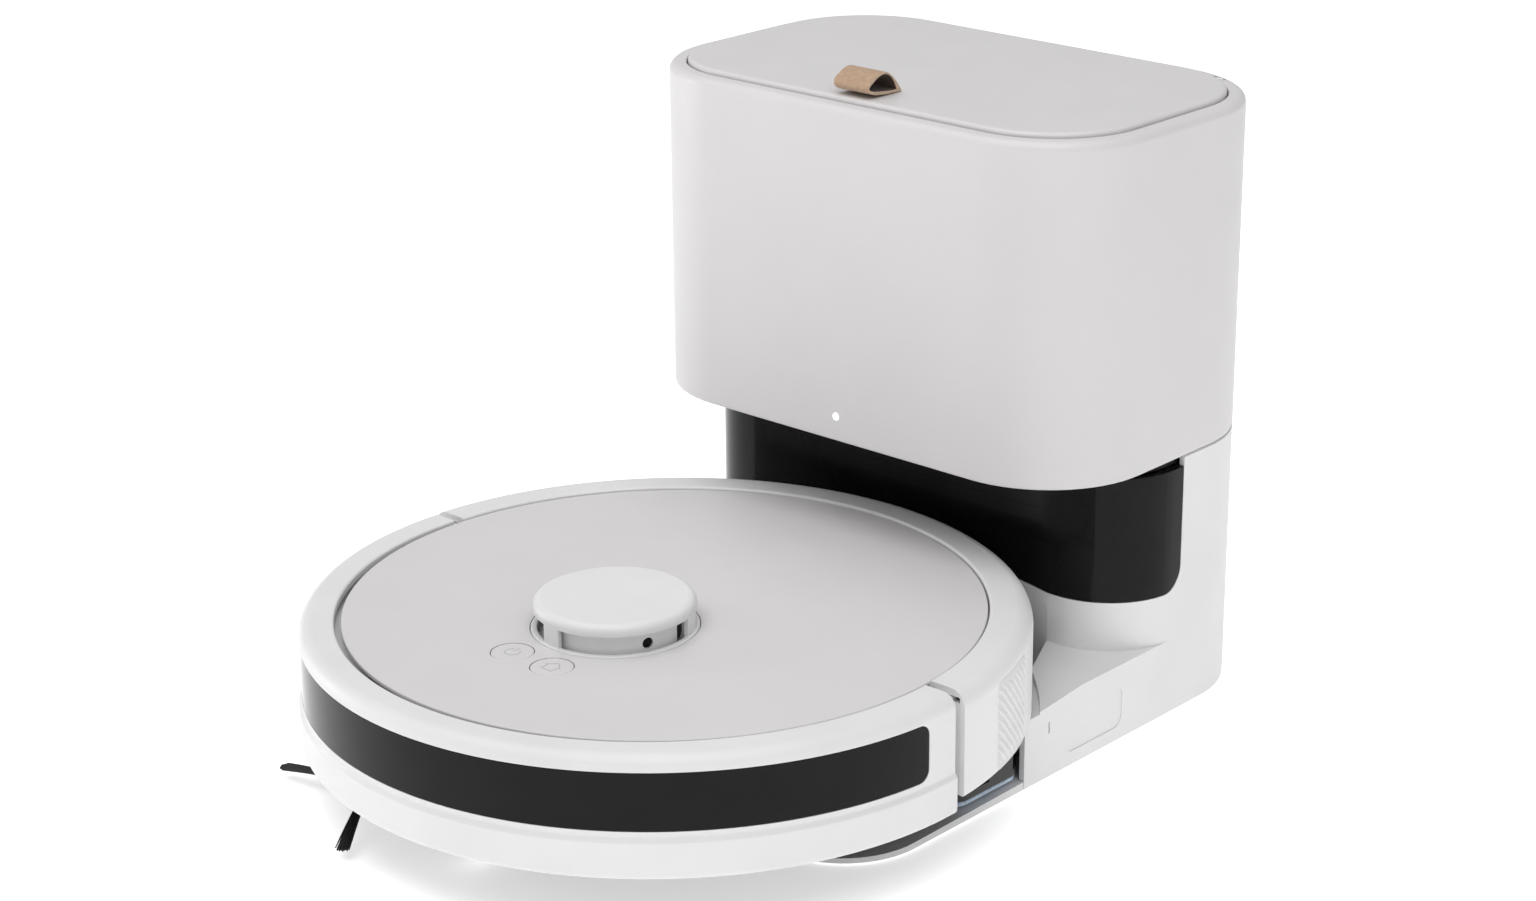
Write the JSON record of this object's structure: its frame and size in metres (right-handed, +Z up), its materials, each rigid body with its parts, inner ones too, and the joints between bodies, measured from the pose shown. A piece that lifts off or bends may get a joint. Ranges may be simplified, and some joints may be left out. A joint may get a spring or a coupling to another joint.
{
  "type": "robot vacuum",
  "caption": "Round robot vacuum with laser turret, bumper, brushes, driven wheels and mop pad, standing in a tall self-emptying dock with a hinged lid over its dust bag.",
  "frame": {"origin": "on the floor, under the middle of the robot and dock together", "axes": "+Z up, -Y out of the dock (the robot's forward), +X to the right of someone facing the front of the dock"},
  "size_m": [0.35, 0.478, 0.3225],
  "materials": {
    "white_plastic": "fine satin grain",
    "warm_plastic": "smooth satin, slightly warm grey white",
    "black_gloss": "polished",
    "black_plastic": "fine grain",
    "grey_plastic": "fine grain",
    "rubber": "matt",
    "tyre": "matt, ribbed",
    "leather": "smooth tan leather",
    "bag_fabric": "non-woven",
    "mop_cloth": "short loop pile",
    "filter_paper": "pleated",
    "board": "solder mask",
    "brass": "polished",
    "steel": "turned",
    "light_lens": "diffusing",
    "motor_metal": "dark coated",
    "battery_wrap": "shrink film"
  },
  "bodies": {
    "dock": {"base_tray": "white_plastic", "lower_body": "white_plastic", "front_panel": "black_gloss", "port_seal": "rubber", "foot_1": "rubber", "foot_2": "rubber", "foot_3": "rubber", "foot_4": "rubber", "neck": "black_plastic", "upper_housing": "warm_plastic", "status_light": "light_lens", "hinge_pin_left": "steel", "hinge_pin_right": "steel", "bag_chamber": "grey_plastic", "bag_bracket": "black_plastic", "bag_flange": "grey_plastic", "dust_bag": "bag_fabric", "suction_duct": "grey_plastic", "suction_motor": "motor_metal", "motor_mount": "rubber", "motor_filter": "filter_paper", "exhaust_grille": "black_plastic", "dock_board": "board", "power_inlet": "black_plastic"},
    "lid": {"lid": "warm_plastic", "lid_seal": "rubber", "lid_liner": "grey_plastic", "pull_tab": "leather"},
    "contact_left": {"contact_left": "brass"},
    "contact_right": {"contact_right": "brass"},
    "robot": {"chassis": "black_plastic", "upper_shell": "white_plastic", "top_plate": "warm_plastic", "turret_cover": "white_plastic", "brush_guard": "black_plastic", "brush_housing": "black_plastic", "mop_holder": "black_plastic", "mop_pad": "mop_cloth", "dust_bin": "black_plastic", "bin_filter": "filter_paper", "fan_motor": "motor_metal", "battery": "battery_wrap", "robot_board": "board", "charge_pad_left": "brass", "charge_pad_right": "brass"},
    "bumper": {"bumper": "white_plastic", "bumper_window": "black_gloss"},
    "lidar_rotor": {"lidar_rotor": "white_plastic"},
    "power_button": {"power_button": "warm_plastic"},
    "home_button": {"home_button": "warm_plastic"},
    "arm_left": {"wheel_arm_left": "black_plastic"},
    "wheel_left": {"wheel_hub_left": "grey_plastic", "tyre_left": "tyre"},
    "arm_right": {"wheel_arm_right": "black_plastic"},
    "wheel_right": {"wheel_hub_right": "grey_plastic", "tyre_right": "tyre"},
    "caster_fork": {"caster_fork": "black_plastic"},
    "caster_wheel": {"caster_wheel": "white_plastic"},
    "roller_brush": {"roller_brush": "rubber"},
    "side_brush": {"side_brush": "rubber"}
  },
  "joints": [
    {"name": "undock", "type": "slide", "parent": "dock", "child": "robot", "axis": [0, -0.9999, -0.0129], "range_m": [0, 0.34]},
    {"name": "lid_hinge", "type": "hinge", "parent": "dock", "child": "lid", "pos_m": [0, 0.2268, 0.3075], "axis": [-1, 0, 0], "range_deg": [0, 95]},
    {"name": "contact_left_press", "type": "slide", "parent": "dock", "child": "contact_left", "axis": [0, 1, 0], "range_m": [0, 0.0015], "stiffness_N_per_m": 300, "springref_m": -0.001},
    {"name": "contact_right_press", "type": "slide", "parent": "dock", "child": "contact_right", "axis": [0, 1, 0], "range_m": [0, 0.0015], "stiffness_N_per_m": 300, "springref_m": -0.001},
    {"name": "bumper_press", "type": "slide", "parent": "robot", "child": "bumper", "axis": [0, 1, 0], "range_m": [0, 0.003], "stiffness_N_per_m": 500, "springref_m": -0.002},
    {"name": "lidar_spin", "type": "hinge", "parent": "robot", "child": "lidar_rotor", "pos_m": [0, -0.098, 0.09], "axis": [0, 0, 1], "continuous": true},
    {"name": "power_button_press", "type": "slide", "parent": "robot", "child": "power_button", "axis": [0, 0, -1], "range_m": [0, 0.001], "stiffness_N_per_m": 800, "springref_m": -0.0005},
    {"name": "home_button_press", "type": "slide", "parent": "robot", "child": "home_button", "axis": [0, 0, -1], "range_m": [0, 0.001], "stiffness_N_per_m": 800, "springref_m": -0.0005},
    {"name": "left_suspension", "type": "hinge", "parent": "robot", "child": "arm_left", "pos_m": [0, -0.122, 0.0385], "axis": [1, 0, 0], "range_deg": [0, 4.5], "stiffness_Nm_per_rad": 5, "springref_deg": -5.73},
    {"name": "left_wheel_spin", "type": "hinge", "parent": "arm_left", "child": "wheel_left", "pos_m": [0, -0.064, 0.0385], "axis": [1, 0, 0], "continuous": true},
    {"name": "right_suspension", "type": "hinge", "parent": "robot", "child": "arm_right", "pos_m": [0, -0.122, 0.0385], "axis": [1, 0, 0], "range_deg": [0, 4.5], "stiffness_Nm_per_rad": 5, "springref_deg": -5.73},
    {"name": "right_wheel_spin", "type": "hinge", "parent": "arm_right", "child": "wheel_right", "pos_m": [0, -0.064, 0.0385], "axis": [1, 0, 0], "continuous": true},
    {"name": "caster_swivel", "type": "hinge", "parent": "robot", "child": "caster_fork", "pos_m": [0, -0.192, 0.03], "axis": [0, 0, 1], "continuous": true},
    {"name": "caster_roll", "type": "hinge", "parent": "caster_fork", "child": "caster_wheel", "pos_m": [0, -0.187, 0.0165], "axis": [1, 0, 0], "continuous": true},
    {"name": "roller_spin", "type": "hinge", "parent": "robot", "child": "roller_brush", "pos_m": [0, -0.105, 0.026], "axis": [1, 0, 0], "continuous": true},
    {"name": "side_brush_spin", "type": "hinge", "parent": "robot", "child": "side_brush", "pos_m": [-0.08, -0.185, 0.012], "axis": [0, 0, 1], "continuous": true}
  ],
  "couplings": [
    {"joint": "left_wheel_spin", "follows": "undock", "rad_per_m": 29.412},
    {"joint": "right_wheel_spin", "follows": "undock", "rad_per_m": 29.412}
  ]
}
